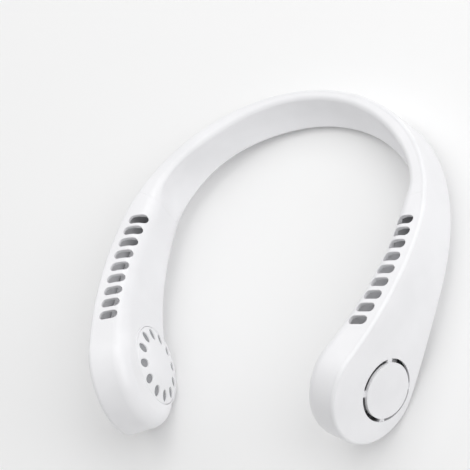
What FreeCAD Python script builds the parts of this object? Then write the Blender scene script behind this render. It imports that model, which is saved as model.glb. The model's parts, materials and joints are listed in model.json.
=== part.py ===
import FreeCAD, Part
import math
import os

# Bladeless neck fan: a horseshoe housing with a small radial fan in each arm.
# Lengths are in millimetres.  The housing is drawn with its top strip level at z = 0, X to the right
# and Y to the back, and is laid down at the end on the two fan ends and the back of the arch.

V = FreeCAD.Vector
UP = V(0, 0, 1)

# Horseshoe in plan, measured on the crisp outer ridge
ARCH_RADIUS = 95.0
ARM_RADIUS = 218.0
ARM_LENGTH = 76.6

# Section heights and side profile
END_RADIUS = 30.0
ARCH_HEIGHT = 0.68 * END_RADIUS
SLOPE_BACK = 64.2
BEND_BACK = 43.8
END_SLOPE = 24.0
PROFILE_BLEND = 1.2

# Section widths
RIM_WIDTH = 5.6
RIM_GROWTH = 3.4
FOOT_WIDTH = 12.0
ARM_WIDTH = 16.8
END_WIDTH = 22.4
BACK_LEAN = 1.4
FLANK_LEAN = 3.8
ARCH_END_BACK = 45.2
ARM_START_BACK = 19.2
NECK_HOLLOW = 1.6

# Edge radii, and the flat strips that each rounded edge is drawn with
RIDGE_RADIUS = 1.8
SOFT_RADIUS = 8.0
RIM_RADIUS = 3.4
LEAST_RADIUS = 0.4
RIDGE_STRIPS = 3
SOFT_STRIPS = 5
HOLLOW_STRIPS = 2
FACE_STRIPS = 3

# Sections of the housing along one arm
ARCH_STEPS = 3
CHANGE_STEPS = 3
ARM_STEPS = 6
ARM_CROWDING = 1.5

# Mouldings
WALL = 1.8
RIDGE_STRIP = 2.1
SEAM = 0.06
PAD_END_BACK = 28.2
ROOT = 0.9

# Air slots, parallel on each arm and turned the same way from square to the row
SLOT_COUNT = 9
SLOT_BACK = 11.2
SLOT_END_GAP = 21.4
SLOT_BAR = 3.1
SLOT_FROM_RIDGE = 5.2
SLOT_EDGE = 0.9
SLOT_TURN = 7.0
SLOT_DEPTH = 8.5
SHELF_DEPTH = 0.5 * END_RADIUS
SHELF_THICK = 1.4
SHELF_END_GAP = 18.6
SHELF_GAP = 0.3

# Fan, measured from the centre of the round end
FAN_BACK = 0.153 * END_RADIUS
FAN_DOWN = 0.24 * END_RADIUS
CAP_RADIUS = 0.5 * END_RADIUS
CAP_GAP = 2.0
CAP_PROUD = 1.0
CAP_TABS = 4
CAP_TAB_TURN = 48.0
CAP_TAB_WIDTH = 3.4
CAP_TAB_SINK = 0.3
CAP_TAB_CLEARANCE = 0.1
CAP_HOOK_REACH = 1.5
CAP_HOOK_WIDTH = 2.4
CAP_HOOK_DEPTH = 0.9
CAP_HOOK_GAP = 0.25

# Inner intake grille
GRILLE_BACK = 2.5
GRILLE_UP = 2.0
GRILLE_LIP = 1.3
GRILLE_RING = 1.1
GRILLE_RIM = 1.6
GRILLE_RISE = 3.0
GRILLE_WALL = 1.9
GRILLE_BANDS = 2
GRILLE_FLAT = 9.5
GRILLE_GAP = 0.15
GRILLE_SEAT = 1.2
GRILLE_COLLAR = 0.8
SEAT_DEPTH = 3.0
SEAT_THICK = 2.0
HOLE_COUNT = 12
HOLE_MARGIN = 0.2
HOLE_LENGTH = 6.6
HOLE_WIDTH = 4.0

# Motor and impeller
BOSS_HEIGHT = 2.6
BOSS_RADIUS = 2.6
BOSS_MARGIN = 1.9
BOSS_TURNS = (5.0, 90.0, 165.0)
PLATE_THICK = 1.2
PLATE_RADIUS = 9.4
ARM_BAR_WIDTH = 4.0
CAN_RADIUS = 6.4
CAN_HEIGHT = 5.2
SHAFT_RADIUS = 0.75
SHAFT_SINK = 3.6
RUNNING_GAP = 0.04
FIT_GAP = 0.02
HUB_GAP = 0.6
HUB_WALL = 1.0
HUB_LIFT = 0.8
BLADE_COUNT = 19
TIP_GAP = 2.6
BLADE_ROOT_GAP = 2.4
BLADE_SWEEP = 30.0
BLADE_BEND = 0.3
BLADE_THICK = 0.8
BLADE_LIFT = 0.8
WHEEL_GAP = 1.4
WEB_THICK = 0.8
WEB_LIP = 0.3

# Screws
SCREW_RADIUS = 0.95
SCREW_HEAD_RADIUS = 1.8
SCREW_HEAD_HEIGHT = 1.0
SCREW_REACH = 2.2
SCREW_GAP = 0.05
BOARD_SCREW_REACH = 2.4

# Batteries
CELL_SHORTER = 34.6
CELL_TO_FAN = 5.0
CELL_EDGE = 2.0
CELL_ROOM = 1.1
CELL_FLOOR = 4.1
CELL_FROM_FACE = 3.5
CELL_FROM_BACK = 3.2
CELL_GAP = 0.15
CRADLE_INSET = 7.0
CRADLE_THICK = 1.6
CRADLE_LEDGE = 1.4

# Control board on the underside of the right arm
BOARD_TO_FAN = 3.5
BOARD_LENGTH = 24.0
BOARD_WIDTH = 9.0
BOARD_THICK = 1.2
BOARD_LIFT = 6.2
BOARD_FROM_RIDGE = 7.0
POST_RADIUS = 1.6
POST_X = 10.2
POST_Y = 2.9
SOCKET_X = 5.6
SOCKET_LENGTH = 8.9
SOCKET_WIDTH = 3.2
SOCKET_WALL = 0.3
SOCKET_SINK = 0.3
SOCKET_GAP = 0.12
TONGUE_LENGTH = 6.6
TONGUE_THICK = 0.7
TONGUE_SINK = 1.0
BUTTON_X = -5.4
BUTTON_RADIUS = 3.0
BUTTON_GAP = 0.1
BUTTON_PROUD = 0.5
BUTTON_FLANGE = 0.7
BUTTON_FLANGE_THICK = 0.9
BUTTON_PLAY = 0.1
BUTTON_TRAVEL = 0.4
STEM_RADIUS = 1.2
SWITCH_SIDE = 5.2
SWITCH_HEIGHT = 1.8
PLUNGER_RADIUS = 1.5
PLUNGER_LENGTH = 1.6
PLUNGER_PROUD = 0.7
LIGHT_X = -0.25
LIGHT_RADIUS = 0.7
LIGHT_FLANGE = 0.4
LIGHT_FLANGE_THICK = 0.8
LED_SIDE = 1.4
LED_HEIGHT = 0.7
LED_GAP = 0.1

# Values that follow from those above
QUARTER = ARCH_RADIUS * math.pi / 2
END_S = QUARTER + ARM_LENGTH
END_Z = -END_RADIUS
FAN_S = END_S - FAN_BACK
FAN_Z = END_Z - FAN_DOWN
FAR = 2.0 * END_RADIUS
DEEP = 3.0 * END_RADIUS
ARCH_END = QUARTER - ARCH_END_BACK
ARM_START = QUARTER - ARM_START_BACK
PAD_END = QUARTER - PAD_END_BACK
SLOPE_START = QUARTER - SLOPE_BACK
BEND_S = END_S - BEND_BACK
SLOT_FIRST = QUARTER - SLOT_BACK
SLOT_PITCH = (END_S - SLOT_END_GAP - SLOT_FIRST) / (SLOT_COUNT - 1)
SLOT_WIDTH = SLOT_PITCH - SLOT_BAR
SLOT_LENGTH = ARM_WIDTH - SLOT_FROM_RIDGE - SLOT_EDGE
SHELF_LENGTH = ARM_LENGTH - SHELF_END_GAP
CAP_HOLE = CAP_RADIUS + CAP_GAP
GRILLE_RADIUS = END_RADIUS - FAN_DOWN - GRILLE_LIP
HOLE_CIRCLE = GRILLE_RADIUS - GRILLE_RING - HOLE_MARGIN - HOLE_LENGTH / 2
BOSS_CIRCLE = CAP_HOLE + BOSS_MARGIN + BOSS_RADIUS
BLADE_TIP = BOSS_CIRCLE - SCREW_HEAD_RADIUS - TIP_GAP
CELL_LENGTH = ARM_LENGTH - CELL_SHORTER
CELL_STATION = FAN_S - BOSS_CIRCLE - BOSS_RADIUS - CELL_TO_FAN - CELL_LENGTH / 2
CELL_TOP = SHELF_DEPTH + SHELF_THICK + CELL_ROOM
CELL_THICK = ARM_WIDTH - CELL_FROM_FACE - CELL_FROM_BACK
CRADLE_SPAN = CELL_LENGTH - 2 * CRADLE_INSET
BOARD_STATION = FAN_S - BLADE_TIP - BOARD_TO_FAN - BOARD_LENGTH / 2


def smooth(u):
    """Ease from 0 to 1."""
    u = min(max(u, 0.0), 1.0)
    return u * u * (3.0 - 2.0 * u)


def mix(a, b, u):
    return a + (b - a) * u


def plan(s):
    """Point of the ridge at arc length s from the middle of the arch, and its outward normal."""
    side = -1.0 if s < 0 else 1.0
    length = abs(s)
    if length <= QUARTER:
        turn = length / ARCH_RADIUS
        point = V(side * ARCH_RADIUS * math.sin(turn), ARCH_RADIUS * (math.cos(turn) - 1.0), 0)
        return point, V(side * math.sin(turn), math.cos(turn), 0)
    turn = (length - QUARTER) / ARM_RADIUS
    x = ARCH_RADIUS - ARM_RADIUS * (1.0 - math.cos(turn))
    point = V(side * x, -ARCH_RADIUS - ARM_RADIUS * math.sin(turn), 0)
    return point, V(side * math.cos(turn), -math.sin(turn), 0)


def at(s, inward, z):
    point, normal = plan(s)
    return point - normal * inward + UP * z


def underside(s):
    """Height of the bottom edge: level arch, two slopes softly joined, then the round end."""
    slope = math.radians(END_SLOPE)
    tangent_s = END_S - END_RADIUS * math.sin(slope)
    if s >= tangent_s:
        return END_Z - math.sqrt(END_RADIUS ** 2 - (END_S - s) ** 2)
    tangent_z = END_Z - END_RADIUS * math.cos(slope)
    level = -ARCH_HEIGHT
    bend_z = tangent_z + (tangent_s - BEND_S) * math.tan(slope)
    gentle = level + (s - SLOPE_START) * (bend_z - level) / (BEND_S - SLOPE_START)
    steep = tangent_z + (tangent_s - s) * math.tan(slope)
    total = sum(math.exp(-z / PROFILE_BLEND) for z in (level, gentle, steep))
    return -PROFILE_BLEND * math.log(total)


def width(s):
    """Width of the arm's section behind the ridge."""
    return mix(ARM_WIDTH, END_WIDTH, (s - ARM_START) / (END_S - ARM_START))


def corners(s):
    """Sharp corners of the section, as (inward, z): ridge, inner top, inner bottom, outer bottom."""
    length = abs(s)
    arm = smooth((length - ARCH_END) / (ARM_START - ARCH_END))
    wide = width(length)
    rim = RIM_WIDTH + RIM_GROWTH * smooth(length / ARCH_END)
    lean = BACK_LEAN * (1.0 - length / END_S)
    if length < QUARTER:
        lean += FLANK_LEAN * math.sin(math.pi * length / QUARTER) ** 2
    low = underside(length)
    return [(0.0, 0.0), (mix(rim, wide, arm), 0.0), (mix(FOOT_WIDTH, wide, arm), low), (-lean, low)]


def radii(s):
    arm = smooth((abs(s) - ARCH_END) / (ARM_START - ARCH_END))
    inner_top = mix(RIM_RADIUS, SOFT_RADIUS, arm)
    inner_bottom = mix(RIDGE_RADIUS, SOFT_RADIUS, arm)
    return [RIDGE_RADIUS, inner_top, inner_bottom, RIDGE_RADIUS]


def inset_corners(points, inset):
    """Move every side of a clockwise polygon inwards by the inset."""
    count = len(points)
    lines = []
    for k in range(count):
        a = points[k]
        b = points[(k + 1) % count]
        length = math.hypot(b[0] - a[0], b[1] - a[1])
        way = ((b[0] - a[0]) / length, (b[1] - a[1]) / length)
        lines.append(((a[0] + way[1] * inset, a[1] - way[0] * inset), way))
    moved = []
    for k in range(count):
        p, u = lines[k - 1]
        q, v = lines[k]
        along = ((q[0] - p[0]) * v[1] - (q[1] - p[1]) * v[0]) / (u[0] * v[1] - u[1] * v[0])
        moved.append((p[0] + u[0] * along, p[1] + u[1] * along))
    return moved


def round_corner(before, corner, after, radius, strips):
    """Points along the arc that rounds a corner."""
    u = V(before[0] - corner[0], before[1] - corner[1], 0).normalize()
    v = V(after[0] - corner[0], after[1] - corner[1], 0).normalize()
    half = u.getAngle(v) / 2.0
    point = V(corner[0], corner[1], 0)
    centre = point + (u + v).normalize() * (radius / math.sin(half))
    start = point + u * (radius / math.tan(half)) - centre
    end = point + v * (radius / math.tan(half)) - centre
    sweep = math.pi - 2.0 * half
    points = []
    for k in range(strips + 1):
        turn = sweep * k / strips
        spoke = start * math.sin(sweep - turn) + end * math.sin(turn)
        points.append(centre + spoke * (1 / math.sin(sweep)))
    return points


def corner_strips(inset):
    """Flat strips of a ridge and of a soft edge, fewer in the hollow."""
    return (1, HOLLOW_STRIPS) if inset else (RIDGE_STRIPS, SOFT_STRIPS)


def section(s, inset):
    """Closed section of the housing at arc length s, drawn in the upright plane across the band."""
    points = inset_corners(corners(s), inset)
    sizes = [max(r - inset, LEAST_RADIUS) for r in radii(s)]
    ridge_strips, soft_strips = corner_strips(inset)
    strips = [ridge_strips, soft_strips, soft_strips, ridge_strips]
    rounded = []
    for k in range(4):
        rounded.append(round_corner(points[k - 1], points[k], points[(k + 1) % 4], sizes[k], strips[k]))
    arm = smooth((abs(s) - ARCH_END) / (ARM_START - ARCH_END))
    chord = rounded[2][0] - rounded[1][-1]
    sink = V(chord.y, -chord.x, 0).normalize() * (NECK_HOLLOW * (1.0 - arm))
    face = [rounded[1][-1] + chord * (k / FACE_STRIPS) + sink for k in range(1, FACE_STRIPS)]
    outline = rounded[0] + rounded[1] + face + rounded[2] + rounded[3]
    return Part.makePolygon([at(s, p.x, p.y) for p in outline + outline[:1]])


def stations():
    """Arc lengths of the sections, closer together where the form changes faster."""
    arch = [ARCH_END * k / ARCH_STEPS for k in range(ARCH_STEPS)]
    change = [mix(ARCH_END, ARM_START, k / CHANGE_STEPS) for k in range(CHANGE_STEPS + 1)]
    back = [(k / ARM_STEPS) ** ARM_CROWDING for k in range(ARM_STEPS - 1, -1, -1)]
    arm = [mix(END_S, ARM_START, u) for u in back]
    right = arch + change + arm
    return [-s for s in reversed(right[1:])] + right


def round_end(inset, side):
    """Disc that closes an arm, turned from the top half of the last section about the end's own axis."""
    s = side * END_S
    points = inset_corners(corners(END_S), inset)
    ridge = max(RIDGE_RADIUS - inset, LEAST_RADIUS)
    soft = max(SOFT_RADIUS - inset, LEAST_RADIUS)
    ridge_strips, soft_strips = corner_strips(inset)
    outline = round_corner(points[3], points[0], points[1], ridge, ridge_strips)
    outline += round_corner(points[0], points[1], points[2], soft, soft_strips)
    outline = [V(points[0][0], END_Z, 0)] + outline + [V(points[1][0], END_Z, 0)]
    profile = Part.makePolygon([at(s, p.x, p.y) for p in outline + outline[:1]])
    return Part.Face(profile).revolve(at(s, 0, END_Z), plan(s)[1] * side, 180)


def housing(inset):
    """The whole horseshoe as one closed form, made smaller all over by the inset."""
    band = Part.makeLoft([section(s, inset) for s in stations()], True, False)
    return band.fuse([round_end(inset, 1), round_end(inset, -1)]).removeSplitter()


def plan_line(inward):
    """Plan curve at a depth behind the ridge, run on straight past both ends."""
    right = at(END_S, inward, 0)
    left = at(-END_S, inward, 0)
    ahead_right = forward(1) * FAR
    ahead_left = forward(-1) * FAR
    middle = (QUARTER + END_S) / 2
    return [
        Part.LineSegment(right + ahead_right, right).toShape(),
        Part.Arc(right, at(middle, inward, 0), at(QUARTER, inward, 0)).toShape(),
        Part.Arc(at(QUARTER, inward, 0), at(0, inward, 0), at(-QUARTER, inward, 0)).toShape(),
        Part.Arc(at(-QUARTER, inward, 0), at(-middle, inward, 0), left).toShape(),
        Part.LineSegment(left, left + ahead_left).toShape(),
    ]


def forward(side):
    """Direction of travel at the end of an arm."""
    normal = plan(side * END_S)[1]
    return V(side * normal.y, -side * normal.x, 0)


def plan_prism(inward_from, inward_to):
    """Upright prism between two depths behind the ridge."""
    first = plan_line(inward_from)
    second = plan_line(inward_to)
    start = Part.LineSegment(first[0].Vertexes[0].Point, second[0].Vertexes[0].Point).toShape()
    end = Part.LineSegment(first[-1].Vertexes[-1].Point, second[-1].Vertexes[-1].Point).toShape()
    wire = Part.Wire(Part.__sortEdges__(first + second + [start, end]))
    prism = Part.Face(wire).extrude(UP * (2 * DEEP))
    prism.translate(UP * -DEEP)
    return prism


def arch_sector(half_length):
    """Sector about the arch's centre that reaches the given arc length on both sides of its middle."""
    half = math.degrees(half_length / ARCH_RADIUS)
    centre = V(0, -ARCH_RADIUS, -DEEP)
    sector = Part.makeCylinder(2 * ARCH_RADIUS, 2 * DEEP, centre, UP, 2 * half)
    sector.rotate(centre, UP, 90 - half)
    return sector


def frame_at(origin, x_axis, y_axis):
    """Placement with the given origin and axes."""
    z_axis = x_axis.cross(y_axis)
    return FreeCAD.Placement(FreeCAD.Matrix(
        x_axis.x, y_axis.x, z_axis.x, origin.x,
        x_axis.y, y_axis.y, z_axis.y, origin.y,
        x_axis.z, y_axis.z, z_axis.z, origin.z,
        0, 0, 0, 1))


def band_frame(s):
    """Frame on the right arm's outer face: x forward, y up, z inward."""
    point, normal = plan(s)
    return frame_at(point, V(normal.y, -normal.x, 0), UP)


def fan_frame():
    frame = band_frame(FAN_S)
    frame.Base = frame.Base + UP * FAN_Z
    return frame


def grille_frame():
    """Frame of the intake grille, a little behind and above the fan axis."""
    frame = fan_frame()
    frame.Base = frame.multVec(V(-GRILLE_BACK, GRILLE_UP, 0))
    return frame


def board_frame():
    """Frame on the right arm's sloping underside: x forward and down, z into the arm."""
    point, normal = plan(BOARD_STATION)
    ahead = V(normal.y, -normal.x, 0)
    slope = math.radians(END_SLOPE)
    along = ahead * math.cos(slope) - UP * math.sin(slope)
    origin = point - normal * BOARD_FROM_RIDGE + UP * underside(BOARD_STATION)
    return frame_at(origin, along, normal)


def put(shape, frame):
    """Move a shape from its own frame into the part's."""
    moved = shape.copy()
    moved.Placement = frame.multiply(moved.Placement)
    return moved


def mirrored(shape):
    return shape.mirror(V(0, 0, 0), V(1, 0, 0))


def disc(radius, bottom, top, x=0.0, y=0.0):
    return Part.makeCylinder(radius, top - bottom, V(x, y, bottom))


def tube(outer, inner, bottom, top):
    return disc(outer, bottom, top).cut(disc(inner, bottom, top))


def block(x0, x1, y0, y1, z0, z1):
    return Part.makeBox(x1 - x0, y1 - y0, z1 - z0, V(x0, y0, z0))


def turned(shape, degrees):
    moved = shape.copy()
    moved.rotate(V(0, 0, 0), UP, degrees)
    return moved


def polar(radius, degrees):
    return V(radius * math.cos(math.radians(degrees)), radius * math.sin(math.radians(degrees)), 0)


def obround(length, width, bottom, top):
    """Slot-shaped prism, long along x."""
    straight = (length - width) / 2
    round_a = disc(width / 2, bottom, top, -straight, 0)
    round_b = disc(width / 2, bottom, top, straight, 0)
    return block(-straight, straight, -width / 2, width / 2, bottom, top).fuse([round_a, round_b])


def largest_solid(shape):
    """The single solid of a boolean result."""
    return max(shape.Solids, key=lambda solid: solid.Volume)


# Depths along the fan axis, from the outer face inward, and the room left for the wheel and the cell
PLATE_Z = WALL + BOSS_HEIGHT
MOTOR_Z = PLATE_Z + PLATE_THICK
SEAT_Z = END_WIDTH - GRILLE_SEAT
CAN_TOP = MOTOR_Z + CAN_HEIGHT
HUB_RADIUS = CAN_RADIUS + HUB_GAP + HUB_WALL
HUB_TOP = CAN_TOP + HUB_GAP + HUB_WALL
SEAT_BORE = GRILLE_RADIUS - GRILLE_RING + GRILLE_GAP
BLADE_ROOT = HUB_RADIUS + BLADE_ROOT_GAP
BLADE_HEIGHT = SEAT_Z - SEAT_THICK - WHEEL_GAP - MOTOR_Z - BLADE_LIFT
CELL_HEIGHT = -underside(CELL_STATION - CELL_LENGTH / 2) - CELL_TOP - CELL_FLOOR


def slot_cutters(side):
    """Slots through the top strip of one arm."""
    middle = SLOT_FIRST + SLOT_PITCH * (SLOT_COUNT - 1) / 2
    across = plan(side * middle)[1]
    square = math.degrees(math.atan2(across.y, across.x))
    cutter = turned(obround(SLOT_LENGTH, SLOT_WIDTH, -SLOT_DEPTH, WALL), square + SLOT_TURN)
    cutters = []
    for k in range(SLOT_COUNT):
        s = side * (SLOT_FIRST + k * SLOT_PITCH)
        moved = cutter.copy()
        moved.translate(at(s, SLOT_FROM_RIDGE + SLOT_LENGTH / 2, 0))
        cutters.append(moved)
    return cutters


def motor_bosses(root):
    bosses = []
    for turn in BOSS_TURNS:
        spot = polar(BOSS_CIRCLE, turn)
        bosses.append(put(disc(BOSS_RADIUS, -WALL, PLATE_Z, spot.x, spot.y), fan_frame()).common(root))
    return bosses


def motor_pilots():
    pilots = []
    for turn in BOSS_TURNS:
        spot = polar(BOSS_CIRCLE, turn)
        hole = disc(SCREW_RADIUS + SCREW_GAP, PLATE_Z - SCREW_REACH - SCREW_GAP, PLATE_Z, spot.x, spot.y)
        pilots.append(put(hole, fan_frame()))
    return pilots


def cradle(root):
    """Two ribs with a ledge each, moulded in the outer shell, that carry the battery."""
    frame = band_frame(CELL_STATION)
    bottom = -CELL_TOP - CELL_HEIGHT - CELL_GAP
    ribs = []
    for centre in (-CRADLE_SPAN / 2, CRADLE_SPAN / 2):
        x0 = centre - CRADLE_THICK / 2
        x1 = centre + CRADLE_THICK / 2
        back = block(x0, x1, bottom - CRADLE_LEDGE, -CELL_TOP, -DEEP, CELL_FROM_FACE - CELL_GAP)
        ledge = block(x0, x1, bottom - CRADLE_LEDGE, bottom, -DEEP, CELL_FROM_FACE + CELL_THICK)
        ribs.append(put(back.fuse(ledge), frame).common(root))
    return ribs


def outer_shell(wall_form):
    shell = wall_form.common(plan_prism(-FAR / 2, RIDGE_STRIP))
    root = plan_prism(ROOT, FAR / 2)
    added = motor_bosses(root) + cradle(root)
    shell = shell.fuse(added + [mirrored(piece) for piece in added])
    removed = [put(disc(CAP_HOLE, -WALL, PLATE_Z), fan_frame())] + motor_pilots()
    shell = shell.cut(removed + [mirrored(piece) for piece in removed])
    return largest_solid(shell)


def grille_seat(core):
    """Ring that the grille drops into, and a collar over the soft edge below it."""
    ring = disc(GRILLE_RADIUS + SEAT_DEPTH, SEAT_Z - SEAT_THICK, END_WIDTH + GRILLE_RISE)
    collar = disc(GRILLE_RADIUS + GRILLE_COLLAR, SEAT_Z - SEAT_THICK, END_WIDTH)
    return [put(ring, grille_frame()).common(core), put(collar, grille_frame())]


def duct_shelf():
    """Floor of the air duct, over the battery, moulded on the inner wall."""
    def arc(depth):
        spots = [QUARTER + SHELF_LENGTH * k / 2 for k in range(3)]
        return Part.Arc(*[at(s, depth(s), -SHELF_DEPTH) for s in spots]).toShape()

    near = arc(lambda s: RIDGE_STRIP + SEAM + SHELF_GAP)
    far = arc(lambda s: width(s) - ROOT)
    ends = [Part.LineSegment(near.Vertexes[k].Point, far.Vertexes[k].Point).toShape() for k in (0, 1)]
    wire = Part.Wire(Part.__sortEdges__([near, far] + ends))
    return Part.Face(wire).extrude(UP * -SHELF_THICK)


def grille_cutters():
    recess = disc(GRILLE_RADIUS + GRILLE_GAP, SEAT_Z, END_WIDTH + FAR)
    bore = disc(SEAT_BORE, SEAT_Z - SEAT_THICK - WALL, END_WIDTH + FAR)
    return [put(recess, grille_frame()), put(bore, grille_frame())]


def cell_rib():
    """Rib of the inner shell that keeps the battery in its cradle."""
    half = CRADLE_THICK / 2
    near = CELL_FROM_FACE + CELL_THICK + CELL_GAP
    rib = block(-half, half, -CELL_TOP - CELL_HEIGHT, -CELL_TOP, near, width(CELL_STATION) - ROOT)
    return put(rib, band_frame(CELL_STATION))


def board_posts():
    return [put(disc(POST_RADIUS, ROOT, BOARD_LIFT, x, -POST_Y), board_frame()) for x in (-POST_X, POST_X)]


def board_cutters():
    """Openings of the underside for the socket, the button and the light, and the post holes."""
    mouth_length = SOCKET_LENGTH + 2 * SOCKET_GAP
    socket = obround(mouth_length, SOCKET_WIDTH + 2 * SOCKET_GAP, -DEEP, WALL + SOCKET_WIDTH)
    socket.translate(V(SOCKET_X, 0, 0))
    button = disc(BUTTON_RADIUS + BUTTON_GAP, -DEEP, WALL + BUTTON_PLAY, BUTTON_X, 0)
    light = disc(LIGHT_RADIUS + FIT_GAP, -DEEP, WALL + BUTTON_PLAY, LIGHT_X, 0)
    cutters = [socket, button, light]
    for x in (-POST_X, POST_X):
        bottom = BOARD_LIFT - BOARD_SCREW_REACH - SCREW_GAP
        cutters.append(disc(SCREW_RADIUS + SCREW_GAP, bottom, BOARD_LIFT, x, -POST_Y))
    return [put(piece, board_frame()) for piece in cutters]


def plain_inner_shell(wall_form, core):
    """Right inner shell without slots, the board's posts and openings."""
    right = Part.makeBox(2 * ARCH_RADIUS, 4 * ARCH_RADIUS, 2 * DEEP, V(0, -3 * ARCH_RADIUS, -DEEP))
    shell = wall_form.common(plan_prism(RIDGE_STRIP + SEAM, FAR / 2)).common(right)
    shell = shell.cut(arch_sector(PAD_END))
    shell = shell.fuse(grille_seat(core) + [duct_shelf(), cell_rib()])
    return shell.cut(grille_cutters())


def neck_pad(wall_form):
    pad = wall_form.common(plan_prism(RIDGE_STRIP + SEAM, FAR / 2))
    return largest_solid(pad.common(arch_sector(PAD_END - SEAM)))


def intake_cap():
    """Thin disc that stands a little proud of the outer face, held by hooked tabs."""
    frame = fan_frame()
    plate = plan_prism(-CAP_PROUD, WALL - CAP_PROUD).common(put(disc(CAP_RADIUS, -FAR / 2, PLATE_Z), frame))
    reach = CAP_HOLE - CAP_TAB_CLEARANCE
    half = CAP_TAB_WIDTH / 2
    sunk = plan_prism(CAP_TAB_SINK, WALL)
    hook_top = WALL + CAP_HOLE ** 2 / (2 * ARM_RADIUS) + CAP_HOOK_GAP
    pieces = []
    for k in range(CAP_TABS):
        turn = CAP_TAB_TURN + 360.0 * k / CAP_TABS
        tab = block(CAP_RADIUS - WALL, reach, -half, half, -WALL, PLATE_Z)
        pieces.append(sunk.common(put(turned(tab, turn), frame)))
        hook_half = CAP_HOOK_WIDTH / 2
        leg = block(CAP_RADIUS, reach, -hook_half, hook_half, WALL / 2, hook_top + CAP_HOOK_DEPTH)
        hook_reach = CAP_HOLE + CAP_HOOK_REACH
        lip = block(CAP_RADIUS, hook_reach, -hook_half, hook_half, hook_top, hook_top + CAP_HOOK_DEPTH)
        hook = leg.fuse(lip)
        pieces.append(put(turned(hook, turn), frame))
    return largest_solid(plate.fuse(pieces))


def intake_grille():
    """Convex cover with radial oval holes, turned in bands round a flat middle."""
    rim_z = END_WIDTH + GRILLE_RIM - GRILLE_SEAT
    ball = (GRILLE_RADIUS ** 2 + GRILLE_RISE ** 2) / (2 * GRILLE_RISE)
    centre_z = rim_z + GRILLE_RISE - ball
    bore = GRILLE_RADIUS - GRILLE_RING
    inner_z = rim_z + GRILLE_RIM - GRILLE_WALL
    steps = [mix(GRILLE_RADIUS, GRILLE_FLAT, k / GRILLE_BANDS) for k in range(GRILLE_BANDS + 1)]
    outer = [V(x, 0, centre_z + math.sqrt(ball ** 2 - x ** 2)) for x in steps]
    inner = [V(0, 0, outer[-1].z), V(0, 0, inner_z), V(bore, 0, inner_z)]
    seat = [V(bore, 0, SEAT_Z), V(GRILLE_RADIUS, 0, SEAT_Z)]
    profile = Part.makePolygon(seat + outer + inner + seat[:1])
    cover = Part.Face(profile).revolve(V(0, 0, 0), UP, 360)
    holes = []
    for k in range(HOLE_COUNT):
        hole = obround(HOLE_LENGTH, HOLE_WIDTH, SEAT_Z, rim_z + 2 * GRILLE_RISE)
        hole.translate(V(HOLE_CIRCLE, 0, 0))
        holes.append(turned(hole, 360.0 * k / HOLE_COUNT))
    return largest_solid(put(cover.cut(holes), grille_frame()))


def motor_base():
    """Three-armed plate that carries the motor."""
    plate = disc(PLATE_RADIUS, PLATE_Z, MOTOR_Z)
    pieces = []
    holes = []
    for turn in BOSS_TURNS:
        reach = BOSS_CIRCLE + BOSS_RADIUS
        bar = block(0, reach, -ARM_BAR_WIDTH / 2, ARM_BAR_WIDTH / 2, PLATE_Z, MOTOR_Z)
        spot = polar(BOSS_CIRCLE, turn)
        pieces.append(turned(bar, turn))
        holes.append(disc(SCREW_RADIUS + SCREW_GAP, PLATE_Z, MOTOR_Z, spot.x, spot.y))
    return put(plate.fuse(pieces).removeSplitter().cut(holes), fan_frame())


def motor_screws():
    screws = []
    for turn in BOSS_TURNS:
        spot = polar(BOSS_CIRCLE, turn)
        head = disc(SCREW_HEAD_RADIUS, MOTOR_Z, MOTOR_Z + SCREW_HEAD_HEIGHT, spot.x, spot.y)
        shank = disc(SCREW_RADIUS, PLATE_Z - SCREW_REACH, MOTOR_Z, spot.x, spot.y)
        screws.append(put(head.fuse(shank), fan_frame()))
    return Part.makeCompound(screws)


def motor():
    """Can with the shaft's bore."""
    can = disc(CAN_RADIUS, MOTOR_Z, CAN_TOP)
    return put(can.cut(disc(SHAFT_RADIUS + RUNNING_GAP, CAN_TOP - SHAFT_SINK, CAN_TOP)), fan_frame())


def shaft():
    return put(disc(SHAFT_RADIUS, CAN_TOP - SHAFT_SINK + RUNNING_GAP, HUB_TOP - HUB_WALL / 2), fan_frame())


def blade():
    """Bent vane between the root and the tip circle."""
    near, far = [], []
    for part, turn in ((0.0, 0.0), (0.5, BLADE_BEND), (1.0, 1.0)):
        radius = mix(BLADE_ROOT, BLADE_TIP, part)
        near.append(polar(radius, BLADE_SWEEP * turn))
        far.append(polar(radius, BLADE_SWEEP * turn + math.degrees(BLADE_THICK / radius)))
    outline = near + far[::-1]
    vane = Part.Face(Part.makePolygon(outline + outline[:1])).extrude(UP * BLADE_HEIGHT)
    vane.translate(UP * (MOTOR_Z + BLADE_LIFT))
    return vane


def impeller():
    """Hub cup over the motor, middle web and a ring of blades."""
    hub_bottom = MOTOR_Z + HUB_LIFT
    cup = disc(HUB_RADIUS - HUB_WALL, hub_bottom, HUB_TOP - HUB_WALL)
    hub = disc(HUB_RADIUS, hub_bottom, HUB_TOP).cut(cup)
    web_z = MOTOR_Z + BLADE_LIFT + BLADE_HEIGHT / 2
    web = tube(BLADE_TIP + WEB_LIP, HUB_RADIUS - HUB_WALL / 2, web_z - WEB_THICK / 2, web_z + WEB_THICK / 2)
    vane = blade()
    vanes = [turned(vane, 360.0 * k / BLADE_COUNT) for k in range(BLADE_COUNT)]
    wheel = hub.fuse([web] + vanes)
    bore = disc(SHAFT_RADIUS + FIT_GAP, CAN_TOP, HUB_TOP - HUB_WALL / 2 + FIT_GAP)
    return largest_solid(put(wheel.cut(bore), fan_frame()))


def battery():
    half = CELL_LENGTH / 2
    bottom = -CELL_TOP - CELL_HEIGHT
    cell = block(-half, half, bottom, -CELL_TOP, CELL_FROM_FACE, CELL_FROM_FACE + CELL_THICK)
    long_edges = [e for e in cell.Edges if abs(e.tangentAt(e.FirstParameter).x) > 0.9]
    return put(cell.makeFillet(CELL_EDGE, long_edges), band_frame(CELL_STATION))


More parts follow.
